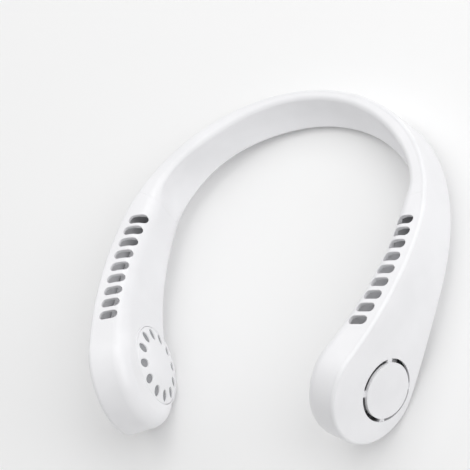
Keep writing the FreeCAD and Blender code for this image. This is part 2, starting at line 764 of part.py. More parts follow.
def main_board():
    half = BOARD_LENGTH / 2
    top = BOARD_LIFT + BOARD_THICK
    board = block(-half, half, -BOARD_WIDTH / 2, BOARD_WIDTH / 2, BOARD_LIFT, top)
    holes = [disc(SCREW_RADIUS + SCREW_GAP, BOARD_LIFT, top, x, -POST_Y) for x in (-POST_X, POST_X)]
    return put(board.cut(holes), board_frame())


def board_screws():
    top = BOARD_LIFT + BOARD_THICK
    screws = []
    for x in (-POST_X, POST_X):
        head = disc(SCREW_HEAD_RADIUS, top, top + SCREW_HEAD_HEIGHT, x, -POST_Y)
        shank = disc(SCREW_RADIUS, BOARD_LIFT - BOARD_SCREW_REACH, top, x, -POST_Y)
        screws.append(put(head.fuse(shank), board_frame()))
    return Part.makeCompound(screws)


def usb_socket():
    """Upright receptacle with its contact tongue."""
    shell = obround(SOCKET_LENGTH, SOCKET_WIDTH, SOCKET_SINK, BOARD_LIFT)
    bore_length = SOCKET_LENGTH - 2 * SOCKET_WALL
    bore = obround(bore_length, SOCKET_WIDTH - 2 * SOCKET_WALL, SOCKET_SINK, BOARD_LIFT - TONGUE_SINK)
    half = TONGUE_LENGTH / 2
    thin = TONGUE_THICK / 2
    tongue = block(-half, half, -thin, thin, SOCKET_SINK + TONGUE_SINK, BOARD_LIFT - TONGUE_SINK / 2)
    socket = shell.cut(bore).fuse(tongue)
    socket.translate(V(SOCKET_X, 0, 0))
    return put(socket, board_frame())


SWITCH_FACE = BOARD_LIFT - SWITCH_HEIGHT
STEM_TOP = SWITCH_FACE - PLUNGER_PROUD - FIT_GAP


def switch_body():
    half = SWITCH_SIDE / 2
    body = block(BUTTON_X - half, BUTTON_X + half, -half, half, SWITCH_FACE, BOARD_LIFT)
    top = SWITCH_FACE - PLUNGER_PROUD + PLUNGER_LENGTH + BUTTON_TRAVEL + FIT_GAP
    return put(body.cut(disc(PLUNGER_RADIUS + RUNNING_GAP, SWITCH_FACE, top, BUTTON_X, 0)), board_frame())


def switch_plunger():
    bottom = SWITCH_FACE - PLUNGER_PROUD
    return put(disc(PLUNGER_RADIUS, bottom, bottom + PLUNGER_LENGTH, BUTTON_X, 0), board_frame())


def power_button():
    """Cap through the underside, flange behind the wall and a stem to the switch."""
    flange_z = WALL + BUTTON_PLAY
    cap = disc(BUTTON_RADIUS, -BUTTON_PROUD, flange_z, BUTTON_X, 0)
    flange = disc(BUTTON_RADIUS + BUTTON_FLANGE, flange_z, flange_z + BUTTON_FLANGE_THICK, BUTTON_X, 0)
    stem = disc(STEM_RADIUS, flange_z, STEM_TOP, BUTTON_X, 0)
    return put(cap.fuse([flange, stem]).removeSplitter(), board_frame())


def light_pipe():
    top = BOARD_LIFT - LED_HEIGHT - LED_GAP
    flange_z = WALL + BUTTON_PLAY
    rod = disc(LIGHT_RADIUS, 0, top, LIGHT_X, 0)
    collar = disc(LIGHT_RADIUS + LIGHT_FLANGE, flange_z, flange_z + LIGHT_FLANGE_THICK, LIGHT_X, 0)
    return put(rod.fuse(collar).removeSplitter(), board_frame())


def led_chip():
    half = LED_SIDE / 2
    chip = block(LIGHT_X - half, LIGHT_X + half, -half, half, BOARD_LIFT - LED_HEIGHT, BOARD_LIFT)
    return put(chip, board_frame())


def rest_tilt():
    """Angle about X that brings the fan ends and the back of the arch to one level."""
    end_centre = at(END_S, END_WIDTH - SOFT_RADIUS, END_Z)
    ahead = forward(1)
    back = V(0, BACK_LEAN - RIDGE_RADIUS, RIDGE_RADIUS - ARCH_HEIGHT)
    low, high = 0.0, math.pi / 4
    for _ in range(60):
        turn = (low + high) / 2
        up = V(0, -math.sin(turn), math.cos(turn))
        end_low = end_centre.dot(up) - SOFT_RADIUS
        end_low -= (END_RADIUS - SOFT_RADIUS) * math.hypot(ahead.dot(up), UP.dot(up))
        if end_low < back.dot(up) - RIDGE_RADIUS:
            low = turn
        else:
            high = turn
    return math.degrees(turn)


def build():
    body = housing(0.0)
    hollow = housing(WALL)
    wall_form = body.cut(hollow)
    parts = {"outer_shell": outer_shell(wall_form), "neck_pad": neck_pad(wall_form)}
    inner = plain_inner_shell(wall_form, housing(ROOT))
    parts["inner_shell_left"] = largest_solid(mirrored(inner).cut(slot_cutters(-1)))
    right = inner.fuse(board_posts()).cut(slot_cutters(1) + board_cutters())
    parts["inner_shell_right"] = largest_solid(right)
    paired = {
        "intake_cap": intake_cap(),
        "intake_grille": intake_grille(),
        "motor_base": motor_base(),
        "motor_screws": motor_screws(),
        "motor": motor(),
        "shaft": shaft(),
        "impeller": impeller(),
        "battery": battery(),
    }
    for name, shape in paired.items():
        parts[name + "_right"] = shape
        parts[name + "_left"] = mirrored(shape)
    for maker in (main_board, board_screws, usb_socket, switch_body, switch_plunger, power_button,
                  light_pipe, led_chip):
        parts[maker.__name__] = maker()
    return parts


def lay_down(parts):
    """Tilt the part to its resting pose and bring its lowest middle point to the origin."""
    tilt = FreeCAD.Placement(V(0, 0, 0), FreeCAD.Rotation(V(1, 0, 0), -rest_tilt()))
    tilted = {name: put(shape, tilt) for name, shape in parts.items()}
    box = Part.makeCompound(list(tilted.values())).optimalBoundingBox(False)
    down = FreeCAD.Placement(V(0, -box.Center.y, -box.ZMin), FreeCAD.Rotation())
    return {name: put(shape, down) for name, shape in tilted.items()}


os.makedirs("parts", exist_ok=True)
for node, solid in lay_down(build()).items():
    solid.exportStep("parts/" + node + ".step")
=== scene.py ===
import json
import math

import bmesh
import bpy
from bpy.props import FloatProperty, IntProperty, PointerProperty, StringProperty
from mathutils import Matrix, Vector


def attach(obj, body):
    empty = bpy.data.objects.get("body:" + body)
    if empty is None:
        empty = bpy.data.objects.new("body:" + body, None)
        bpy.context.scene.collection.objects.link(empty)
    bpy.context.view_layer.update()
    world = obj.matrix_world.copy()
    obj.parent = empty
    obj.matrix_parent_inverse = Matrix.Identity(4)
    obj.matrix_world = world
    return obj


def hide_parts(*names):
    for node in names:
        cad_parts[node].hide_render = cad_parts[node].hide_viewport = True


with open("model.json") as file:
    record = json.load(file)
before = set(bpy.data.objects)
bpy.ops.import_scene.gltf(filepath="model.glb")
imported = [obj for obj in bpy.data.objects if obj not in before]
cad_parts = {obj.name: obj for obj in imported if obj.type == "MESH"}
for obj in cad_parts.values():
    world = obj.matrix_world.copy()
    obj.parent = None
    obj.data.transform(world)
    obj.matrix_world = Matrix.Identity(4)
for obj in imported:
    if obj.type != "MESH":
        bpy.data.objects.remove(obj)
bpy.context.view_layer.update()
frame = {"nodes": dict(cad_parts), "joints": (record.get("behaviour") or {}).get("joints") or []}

bl_info = {
    "name": "Neck fan",
    "version": (1, 1, 0),
    "blender": (4, 5, 0),
    "location": "View3D > Sidebar > Neck fan",
    "description": "Finishes the housing, grilles, fans and controls of a bladeless neck fan",
    "category": "Object",
}

MM = 0.001
SIDES = ("left", "right")
JOINTS = {joint["name"]: joint for joint in frame["joints"]}

# Body that carries everything that doesn't move
BASE = "housing"

# How pieces are merged, rounded and shaded
MERGE_DISTANCE = 0.002 * MM
FLAT_ANGLE = math.radians(0.4)
RIM_ANGLE = math.radians(50.0)
EDGE_ANGLE = math.radians(40.0)
SMOOTH_ANGLE = math.radians(36.0)
ROUND_STEPS = 3

# Fineness of the grilles and their holes
GRILLE_SIDES = 96
HOLE_SIDES = 32
EDGE_STEPS = 4
DOME_STEPS = 7

# Share of the dome's slope at its last ring, which goes round a small flat top
DOME_POLE = 0.06

# How a level face is told: by the upright share of its normal, and by its distance from a height
LEVEL_NORMAL = 0.9
LEVEL_DISTANCE = 0.02 * MM

# Height of a hole's punch above the dome's face and its depth below the flared rim, in wall thicknesses
PUNCH_ABOVE = 2
PUNCH_BELOW = 4

# Room between the dust screen and the cover, at its face and at its edge, and the height of its foot
SCREEN_GAP = 0.02 * MM
SCREEN_EDGE = 0.3 * MM
SCREEN_FOOT = 0.1 * MM

# Sizes of the patterns in the finishes
TONE_DRIFT = 28.0 * MM
DRAWN_LINE = 0.15 * MM
PLATING_CLOUD = 2.0 * MM
FILM_WRINKLE = 4.0 * MM
TRACE_PITCH = 9.0 * MM
FLOW_MARK = 1.2 * MM

# How far the roughness drifts to both sides
PLASTIC_DRIFT = 0.03
PLATING_DRIFT = 0.08

# Refractive indexes
PLASTIC_IOR = 1.53
EPOXY_IOR = 1.52
POLYCARBONATE_IOR = 1.58

# Length of one band of a wave texture at scale 1
WAVE_LENGTH = math.pi / 10

BLACK = (0.0, 0.0, 0.0, 1.0)
WHITE = (1.0, 1.0, 1.0, 1.0)

# Where the camera and the lights look, and how far the camera sees
VIEW_TARGET = Vector((-15.46, 6.89, 43.64)) * MM
VIEW_REACH = 20.0

# Square lights round the target, with their side and distance in metres and their angles in degrees
SOFTBOXES = {
    "key": {"size": 1.3, "azimuth": 100.0, "elevation": 38.0, "distance": 1.8},
    "back": {"size": 0.9, "azimuth": 165.0, "elevation": 48.0, "distance": 1.4},
    "fill": {"size": 0.9, "azimuth": -125.0, "elevation": 42.0, "distance": 1.4},
    "top": {"size": 0.9, "azimuth": 180.0, "elevation": 82.0, "distance": 1.3},
}


class NeckFanSizes(bpy.types.PropertyGroup):
    """Sizes of what is modelled on the frame's parts."""
    grille_rim: FloatProperty(
        name="Grille rim", description="Height of the grille's rim over its seat",
        default=1.6 * MM, unit="LENGTH")
    grille_rise: FloatProperty(
        name="Grille rise", description="Height of the dome over the rim", default=2.8 * MM, unit="LENGTH")
    grille_edge: FloatProperty(
        name="Grille edge", description="Radius of the rim's rounded edge", default=0.9 * MM, unit="LENGTH")
    grille_wall: FloatProperty(
        name="Grille wall", description="Thickness of the dome", default=0.8 * MM, unit="LENGTH")
    hole_count: IntProperty(
        name="Holes", description="Oval holes in each grille", default=12)
    hole_length: FloatProperty(
        name="Hole length", description="Length of an oval hole", default=6.4 * MM, unit="LENGTH")
    hole_width: FloatProperty(
        name="Hole width", description="Width of an oval hole", default=4.7 * MM, unit="LENGTH")
    hole_edge: FloatProperty(
        name="Hole edge", description="Radius of the holes' rounded rims", default=0.35 * MM, unit="LENGTH")
    hole_margin: FloatProperty(
        name="Hole margin", description="Solid edge outside the holes", default=1.3 * MM, unit="LENGTH")
    screen_wall: FloatProperty(
        name="Screen wall", description="Thickness of the dust screen", default=0.25 * MM, unit="LENGTH")
    screen_pitch: FloatProperty(
        name="Screen pitch", description="Distance between the screen's threads",
        default=0.7 * MM, unit="LENGTH")
    slot_edge: FloatProperty(
        name="Slot edge", description="Rounding of the air slots' rims", default=0.3 * MM, unit="LENGTH")
    slot_least: FloatProperty(
        name="Shortest slot", description="Shortest opening whose rim is rounded",
        default=5.5 * MM, unit="LENGTH")
    slot_most: FloatProperty(
        name="Longest slot", description="Longest opening whose rim is rounded",
        default=14.0 * MM, unit="LENGTH")
    cap_edge: FloatProperty(
        name="Cap edge", description="Rounding of the round caps' edges", default=0.4 * MM, unit="LENGTH")
    button_edge: FloatProperty(
        name="Button edge", description="Rounding of the button's edges", default=0.3 * MM, unit="LENGTH")


class NeckFanColours(bpy.types.PropertyGroup):
    """Colours of the finishes, as sRGB hex values."""
    shell: StringProperty(name="Shell", description="White of the moulded shells", default="F1F1F3")
    shell_shade: StringProperty(
        name="Shell shade", description="Slightly duller white between", default="ECECEE")
    # Greys of the dust screen: its grey is partly painted shade standing in for the shade seen in the
    # grille's holes, and the darker opening grey is painted shade of the dark inside seen through the gauze
    thread: StringProperty(name="Thread", description="Threads of the dust screen", default="A6A7AA")
    opening: StringProperty(name="Opening", description="Openings of the dust screen", default="747578")
    wheel: StringProperty(
        name="Fan wheel", description="Grey of the fan wheel and the motor's carrier", default="C4C5C7")
    wheel_shade: StringProperty(name="Fan wheel shade", description="Duller grey between", default="B9BABC")
    button: StringProperty(name="Button", description="Grey of the power button", default="C9CACC")
    button_shade: StringProperty(name="Button shade", description="Duller grey between", default="C1C2C4")
    cell: StringProperty(name="Cell wrap", description="Film round the cells", default="7F93AC")
    cell_fold: StringProperty(name="Cell wrap fold", description="Film where it wrinkles", default="8FA2B8")
    board: StringProperty(name="Board", description="Solder mask of the board", default="1F5C3E")
    trace: StringProperty(name="Trace", description="Solder mask over a copper trace", default="2F7A50")
    switch: StringProperty(name="Switch", description="Black of the switch", default="242425")
    switch_shade: StringProperty(name="Switch shade", description="Greyer black between", default="2C2C2D")
    steel: StringProperty(
        name="Steel", description="Plated steel of the shafts, screws and socket", default="CDCFD2")
    can: StringProperty(name="Motor can", description="Zinc-plated motor can", default="C2C5C8")
    lens: StringProperty(name="Lens", description="Clear lens of the lamp", default="F4F8FB")
    lamp: StringProperty(name="Lamp", description="Resin of the small lamp", default="F0E8BE")
    lamp_shade: StringProperty(name="Lamp shade", description="Phosphor in the resin", default="E6D58A")
    floor: StringProperty(name="Floor", description="Pale floor", default="F4F4F4")


class NeckFanView(bpy.types.PropertyGroup):
    """Camera, light and floor."""
    azimuth: FloatProperty(
        name="Azimuth", description="Camera round the part", default=math.radians(62.32), subtype="ANGLE")
    elevation: FloatProperty(
        name="Elevation", description="Camera above the floor",
        default=math.radians(51.08), subtype="ANGLE")
    roll: FloatProperty(
        name="Roll", description="Camera turned about its own axis",
        default=math.radians(-55.73), subtype="ANGLE")
    distance: FloatProperty(name="Distance", description="Camera to target", default=1.8496, unit="LENGTH")
    lens: FloatProperty(name="Lens", description="Focal length", default=268.7, unit="CAMERA")
    key: FloatProperty(
        name="Key light", description="Power of the soft light on the right", default=10.8, unit="POWER")
    back: FloatProperty(
        name="Back light", description="Power of the soft light behind", default=4.3, unit="POWER")
    fill: FloatProperty(
        name="Fill light", description="Power of the soft light on the left", default=1.9, unit="POWER")
    top: FloatProperty(
        name="Top light", description="Power of the soft light overhead", default=1.7, unit="POWER")
    sky: FloatProperty(name="Sky", description="Strength of the even light all round", default=0.54)
    floor_size: FloatProperty(
        name="Floor size", description="Side of the floor", default=6.0, unit="LENGTH")


def linear(code):
    """Linear colour of an sRGB hex value."""
    parts = [int(code[k:k + 2], 16) / 255.0 for k in (0, 2, 4)]
    return [c / 12.92 if c <= 0.04045 else ((c + 0.055) / 1.055) ** 2.4 for c in parts] + [1.0]


def new_material(name):
    """Material with an empty node tree."""
    material = bpy.data.materials.new(name)
    material.use_nodes = True
    material.node_tree.nodes.clear()
    return material


def made_once(name, make, *values, **settings):
    """Material of that name, made when it is first asked for."""
    return bpy.data.materials.get(name) or make(name, *values, **settings)


def add_node(material, kind, settings=None, values=None, links=None, stops=()):
    """Add one node, with its settings, socket values, incoming links and, on a ramp, its two stops."""
    tree = material.node_tree
    node = tree.nodes.new(kind)
    for name, value in (settings or {}).items():
        setattr(node, name, value)
    for name, value in (values or {}).items():
        node.inputs[name].default_value = value
    for name, source in (links or {}).items():
        tree.links.new(source, node.inputs[name])
    for k, (position, colour) in enumerate(stops):
        node.color_ramp.elements[k].position = position
        node.color_ramp.elements[k].color = colour
    return node


def moulded_plastic(name, light, dark, roughness, grain, grain_depth):
    """Injection-moulded plastic: even skin whose gloss and tone drift a little, over a spark-eroded grain.

    The real grain is finer than a tenth of a millimetre; it is drawn coarser here so that it shows.
    """
    material = new_material(name)
    place = add_node(material, "ShaderNodeTexCoord").outputs["Object"]
    drift = add_node(
        material, "ShaderNodeTexNoise", values={"Scale": 1 / TONE_DRIFT, "Detail": 2.0},
        links={"Vector": place})
    tone = add_node(
        material, "ShaderNodeValToRGB", links={"Fac": drift.outputs["Fac"]},
        stops=((0.35, linear(dark)), (0.65, linear(light))))
    gloss = add_node(
        material, "ShaderNodeMapRange", links={"Value": drift.outputs["Fac"]},
        values={"From Min": 0.3, "From Max": 0.7,
                "To Min": roughness - PLASTIC_DRIFT, "To Max": roughness + PLASTIC_DRIFT})
    pits = add_node(
        material, "ShaderNodeTexNoise", values={"Scale": 1 / grain, "Detail": 3.0}, links={"Vector": place})
    bump = add_node(
        material, "ShaderNodeBump", values={"Strength": grain_depth, "Distance": 0.05 * MM},
        links={"Height": pits.outputs["Fac"]})
    shader = add_node(
        material, "ShaderNodeBsdfPrincipled", values={"IOR": PLASTIC_IOR},
        links={"Base Color": tone.outputs["Color"], "Roughness": gloss.outputs["Result"],
               "Normal": bump.outputs["Normal"]})
    add_node(material, "ShaderNodeOutputMaterial", links={"Surface": shader.outputs["BSDF"]})
    return material


def plated_metal(name, colour, roughness, streak):
    """Drawn or turned metal with thin plating: fine drawing lines one way and a cloudy gloss."""
    material = new_material(name)
    place = add_node(material, "ShaderNodeTexCoord").outputs["Object"]
    stretch = add_node(material, "ShaderNodeMapping", values={"Scale": streak}, links={"Vector": place})
    lines = add_node(
        material, "ShaderNodeTexNoise", values={"Scale": 1 / DRAWN_LINE, "Detail": 2.0},
        links={"Vector": stretch.outputs["Vector"]})
    cloud = add_node(
        material, "ShaderNodeTexNoise", values={"Scale": 1 / PLATING_CLOUD}, links={"Vector": place})
    gloss = add_node(
        material, "ShaderNodeMapRange", links={"Value": cloud.outputs["Fac"]},
        values={"To Min": roughness - PLATING_DRIFT, "To Max": roughness + PLATING_DRIFT})
    bump = add_node(
        material, "ShaderNodeBump", values={"Strength": 0.25, "Distance": 0.02 * MM},
        links={"Height": lines.outputs["Fac"]})
    shader = add_node(
        material, "ShaderNodeBsdfPrincipled", values={"Base Color": linear(colour), "Metallic": 1.0},
        links={"Roughness": gloss.outputs["Result"], "Normal": bump.outputs["Normal"]})
    add_node(material, "ShaderNodeOutputMaterial", links={"Surface": shader.outputs["BSDF"]})
    return material


def cell_film(name, film, fold):
    """Shrunk PVC film on a lithium cell: glossy, with faint paler wrinkles along the cell."""
    material = new_material(name)
    place = add_node(material, "ShaderNodeTexCoord").outputs["Object"]
    stretch = add_node(
        material, "ShaderNodeMapping", values={"Scale": (1.0, 0.25, 1.0)}, links={"Vector": place})
    wrinkle = add_node(
        material, "ShaderNodeTexNoise", links={"Vector": stretch.outputs["Vector"]},
        values={"Scale": 1 / FILM_WRINKLE, "Detail": 4.0, "Distortion": 0.6})
    tone = add_node(
        material, "ShaderNodeValToRGB", links={"Fac": wrinkle.outputs["Fac"]},
        stops=((0.5, linear(film)), (0.7, linear(fold))))
    bump = add_node(
        material, "ShaderNodeBump", values={"Strength": 0.3, "Distance": 0.15 * MM},
        links={"Height": wrinkle.outputs["Fac"]})
    shader = add_node(
        material, "ShaderNodeBsdfPrincipled", values={"Roughness": 0.28, "IOR": PLASTIC_IOR},
        links={"Base Color": tone.outputs["Color"], "Normal": bump.outputs["Normal"]})
    add_node(material, "ShaderNodeOutputMaterial", links={"Surface": shader.outputs["BSDF"]})
    return material


def circuit_board(name, mask, trace):
    """Glass-epoxy board under green solder mask: copper traces stand a little paler and higher below it."""
    material = new_material(name)
    place = add_node(material, "ShaderNodeTexCoord").outputs["Object"]
    tracks = add_node(
        material, "ShaderNodeTexBrick", settings={"offset": 0.35},
        values={"Scale": 1 / TRACE_PITCH, "Mortar Size": 0.05,
                "Color1": BLACK, "Color2": BLACK, "Mortar": WHITE},
        links={"Vector": place})
    tone = add_node(
        material, "ShaderNodeValToRGB", links={"Fac": tracks.outputs["Color"]},
        stops=((0.3, linear(mask)), (0.7, linear(trace))))
    bump = add_node(
        material, "ShaderNodeBump", values={"Strength": 0.4, "Distance": 0.05 * MM},
        links={"Height": tracks.outputs["Color"]})
    shader = add_node(
        material, "ShaderNodeBsdfPrincipled", values={"Roughness": 0.35, "IOR": EPOXY_IOR},
        links={"Base Color": tone.outputs["Color"], "Normal": bump.outputs["Normal"]})
    add_node(material, "ShaderNodeOutputMaterial", links={"Surface": shader.outputs["BSDF"]})
    return material


def woven_mesh(name, thread, opening, pitch):
    """Nylon gauze behind the intake: matt threads in two directions with darker openings between them,
    whose darker grey is painted shade of the dark inside seen through them.

    Real gauze is about twice as fine; it is drawn this coarse so that it shows.
    """
    material = new_material(name)
    place = add_node(material, "ShaderNodeTexCoord").outputs["Object"]
    weft, warp = [
        add_node(material, "ShaderNodeTexWave", settings={"bands_direction": way},
                 values={"Scale": WAVE_LENGTH / pitch}, links={"Vector": place}) for way in "YZ"]
    weave = add_node(
        material, "ShaderNodeMath", settings={"operation": "MAXIMUM"},
        links={0: weft.outputs["Fac"], 1: warp.outputs["Fac"]})
    tone = add_node(
        material, "ShaderNodeValToRGB", links={"Fac": weave.outputs["Value"]},
        stops=((0.45, linear(opening)), (0.75, linear(thread))))
    bump = add_node(
        material, "ShaderNodeBump", values={"Strength": 0.5, "Distance": 0.1 * MM},
        links={"Height": weave.outputs["Value"]})
    shader = add_node(
        material, "ShaderNodeBsdfPrincipled", values={"Roughness": 0.7, "IOR": PLASTIC_IOR},
        links={"Base Color": tone.outputs["Color"], "Normal": bump.outputs["Normal"]})
    add_node(material, "ShaderNodeOutputMaterial", links={"Surface": shader.outputs["BSDF"]})
    return material


def clear_moulding(name, colour):
    """Clear polycarbonate: water-white, with a slight flow mark from the mould."""
    material = new_material(name)
    place = add_node(material, "ShaderNodeTexCoord").outputs["Object"]
    flow = add_node(
        material, "ShaderNodeTexNoise", values={"Scale": 1 / FLOW_MARK}, links={"Vector": place})
    bump = add_node(
        material, "ShaderNodeBump", values={"Strength": 0.1, "Distance": 0.02 * MM},
        links={"Height": flow.outputs["Fac"]})
    shader = add_node(
        material, "ShaderNodeBsdfPrincipled", links={"Normal": bump.outputs["Normal"]},
        values={"Base Color": linear(colour), "Roughness": 0.08, "IOR": POLYCARBONATE_IOR,
                "Transmission Weight": 0.85})
    add_node(material, "ShaderNodeOutputMaterial", links={"Surface": shader.outputs["BSDF"]})
    return material


def matt_card(name, colour):
    """Matt card under the part: next to no gloss, so that it shows only the soft shadow."""
    material = new_material(name)
    shader = add_node(
        material, "ShaderNodeBsdfPrincipled",
        values={"Base Color": linear(colour), "Roughness": 0.9, "Specular IOR Level": 0.1})
    add_node(material, "ShaderNodeOutputMaterial", links={"Surface": shader.outputs["BSDF"]})
    return material


def white_abs():
    """Satin white ABS of the shells, grilles and caps."""
    colours = bpy.context.scene.neck_fan_colours
    return made_once(
        "moulded_white_abs", moulded_plastic, colours.shell, colours.shell_shade,
        roughness=0.34, grain=1.1 * MM, grain_depth=0.06)


def plated_steel():
    """Nickel-plated steel of the shafts, the screws and the socket."""
    colours = bpy.context.scene.neck_fan_colours
    return made_once(
        "nickel_plated_steel", plated_metal, colours.steel, roughness=0.3, streak=(1.0, 1.0, 0.1))


def select_only(obj):
    """Select one object and make it active."""
    bpy.ops.object.select_all(action="DESELECT")
    obj.select_set(True)
    bpy.context.view_layer.objects.active = obj


def edit_all(obj):
    """Go into edit mode with the object's whole mesh selected."""
    select_only(obj)
    bpy.ops.object.mode_set(mode="EDIT")
    bpy.ops.mesh.select_all(action="SELECT")


def pick_faces(obj, test):
    """In edit mode, select only the faces that pass the test."""
    bpy.ops.mesh.select_mode(type="FACE")
    bpy.ops.mesh.select_all(action="DESELECT")
    bpy.ops.object.mode_set(mode="OBJECT")
    for face in obj.data.polygons:
        face.select = test(face)
    bpy.ops.object.mode_set(mode="EDIT")


def apply_modifier(obj, kind, **settings):
    """Add a modifier with its settings and apply it."""
    select_only(obj)
    bpy.ops.object.modifier_add(type=kind)
    modifier = obj.modifiers[-1]
    for name, value in settings.items():
        setattr(modifier, name, value)
    bpy.ops.object.modifier_apply(modifier=modifier.name)


def merged_copy(node, name):
    """Copy of a frame part with its triangles merged, its flat faces joined and its stored normals gone."""
    piece = bpy.data.objects.new(name, frame["nodes"][node].data.copy())
    bpy.context.scene.collection.objects.link(piece)
    edit_all(piece)
    bpy.ops.mesh.remove_doubles(threshold=MERGE_DISTANCE)
    bpy.ops.mesh.dissolve_limited(angle_limit=FLAT_ANGLE)
    bpy.ops.object.mode_set(mode="OBJECT")
    if "custom_normal" in piece.data.attributes:
        piece.data.attributes.remove(piece.data.attributes["custom_normal"])
    return piece


def rounded_copy(node, name, radius):
    """Merged copy of a frame part whose sharp edges are rounded."""
    piece = merged_copy(node, name)
    apply_modifier(
        piece, "BEVEL", width=radius, segments=ROUND_STEPS, limit_method="ANGLE", angle_limit=EDGE_ANGLE)
    return piece


def connected_runs(edges):
    """Lists of the edges that hang together end to end; a run grows while it is walked along."""
    waiting = set(edges)
    runs = []
    for start in edges:
        if start not in waiting:
            continue
        waiting.remove(start)
        run = [start]
        for edge in run:
            for vert in edge.verts:
                for other in vert.link_edges:
                    if other in waiting:
                        waiting.remove(other)
                        run.append(other)
        runs.append(run)
    return runs


def slot_rims(mesh, least, most):
    """Indexes of the sharp convex edges that hang together in runs as long as a slot and look up."""
    form = bmesh.new()
    form.from_mesh(mesh)
    sharp = [
        edge for edge in form.edges
        if edge.is_manifold and edge.is_convex and edge.calc_face_angle() > RIM_ANGLE]
    chosen = []
    for run in connected_runs(sharp):
        spots = [vert.co for edge in run for vert in edge.verts]
        spans = [max(spot[k] for spot in spots) - min(spot[k] for spot in spots) for k in range(3)]
        upward = sum(face.normal.z for edge in run for face in edge.link_faces) > 0.0
        if upward and least < max(spans) < most:
            chosen += [edge.index for edge in run]
    form.free()
    return chosen


def soften_slots(piece, sizes):
    """Round the rims of the slots."""
    rims = slot_rims(piece.data, sizes.slot_least, sizes.slot_most)
    select_only(piece)
    bpy.ops.object.mode_set(mode="EDIT")
    bpy.ops.mesh.select_mode(type="EDGE")
    bpy.ops.mesh.select_all(action="DESELECT")
    bpy.ops.object.mode_set(mode="OBJECT")
    for index in rims:
        piece.data.edges[index].select = True
    bpy.ops.object.mode_set(mode="EDIT")
    bpy.ops.mesh.bevel(offset=sizes.slot_edge, segments=ROUND_STEPS, affect="EDGES", loop_slide=False)
    bpy.ops.object.mode_set(mode="OBJECT")


def finish_piece(piece, body, slot, material, *nodes):
    """Shade a piece, give it its material and its place in the frame, and let it stand for the nodes."""
    select_only(piece)
    bpy.ops.object.shade_smooth_by_angle(angle=SMOOTH_ANGLE)
    apply_modifier(piece, "WEIGHTED_NORMAL", keep_sharp=True)
    piece.data.materials.clear()
    piece.data.materials.append(material)
    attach(piece, body)
    if nodes:
        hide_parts(*nodes)


def paint(material, *nodes):
    """Give frame parts that keep their shape a material."""
    for node in nodes:
        mesh = frame["nodes"][node].data
        mesh.materials.clear()
        mesh.materials.append(material)


def fan_axis(side):
    """Direction of a fan's axis, towards the neck."""
    joint = JOINTS["fan_" + side + "_spin"]
    axis = Vector(joint["axis"]).normalized()
    return -axis if axis.x * joint["pos_m"][0] > 0 else axis


def grille_place(side):
    """Placement of a grille, with z along the fan's axis and its origin on the seat, and its radius."""
    axis = fan_axis(side)
    up = fan_axis("left").cross(fan_axis("right")).normalized()
    up = up if up.z > 0 else -up
    ways = (up.cross(axis), up, axis)
    spots = [vert.co for vert in frame["nodes"]["intake_grille_" + side].data.vertices]
    low = [min(spot.dot(way) for spot in spots) for way in ways]
    high = [max(spot.dot(way) for spot in spots) for way in ways]
    seat = ((low[0] + high[0]) / 2, (low[1] + high[1]) / 2, low[2])
    place = Matrix(ways).transposed().to_4x4()
    place.translation = ways[0] * seat[0] + ways[1] * seat[1] + ways[2] * seat[2]
    return place, (high[0] - low[0]) / 2


def edge_turns(whole):
    """Angles from zero to the whole turn, in the steps of a rounded edge."""
    return [whole * k / EDGE_STEPS for k in range(EDGE_STEPS + 1)]


def dome_rings(ball, centre, slope):
    """Points (radius, height) of the rings of a dome, from its foot to its flat top."""
    shares = [1.0 - (1.0 - DOME_POLE) * k / DOME_STEPS for k in range(DOME_STEPS + 1)]
    return [(ball * math.sin(slope * share), centre + ball * math.cos(slope * share)) for share in shares]


def cover_profile(radius, sizes):
    """Points (radius, height) up the rounded rim and the dome, and the dome's ball radius and centre."""
    edge = sizes.grille_edge
    inset = radius - edge
    base = sizes.grille_rim - edge
    slope = 2.0 * math.atan(sizes.grille_rise / inset)
    points = [
        (inset + edge * math.cos(turn), base + edge * math.sin(turn))
        for turn in edge_turns(math.pi / 2 - slope)]
    ball = points[-1][0] / math.sin(slope)
    centre = points[-1][1] - ball * math.cos(slope)
    return points + dome_rings(ball, centre, slope)[1:], ball, centre


def drawn_dome(name, profile, foot, wall):
    """Disc drawn up from its foot, over the profile's rings to the top, and given a wall."""
    bpy.ops.object.select_all(action="DESELECT")
    bpy.ops.mesh.primitive_circle_add(
        vertices=GRILLE_SIDES, radius=profile[0][0], fill_type="NGON", location=(0, 0, foot))
    dome = bpy.context.object
    dome.name = name
    bpy.ops.object.transform_apply(location=True, rotation=True, scale=True)
    edit_all(dome)
    bpy.ops.mesh.extrude_region_move(TRANSFORM_OT_translate={"value": (0, 0, profile[0][1] - foot)})
    for near, far in zip(profile, profile[1:]):
        bpy.ops.mesh.inset(thickness=near[0] - far[0], depth=far[1] - near[1])
    pick_faces(dome, lambda face: (
        abs(face.normal.z) > LEVEL_NORMAL and abs(face.center.z - foot) < LEVEL_DISTANCE))
    bpy.ops.mesh.delete(type="FACE")
    bpy.ops.mesh.select_all(action="SELECT")
    bpy.ops.mesh.normals_make_consistent(inside=False)
    bpy.ops.object.mode_set(mode="OBJECT")
    apply_modifier(dome, "SOLIDIFY", thickness=wall, offset=-1.0)
    return dome


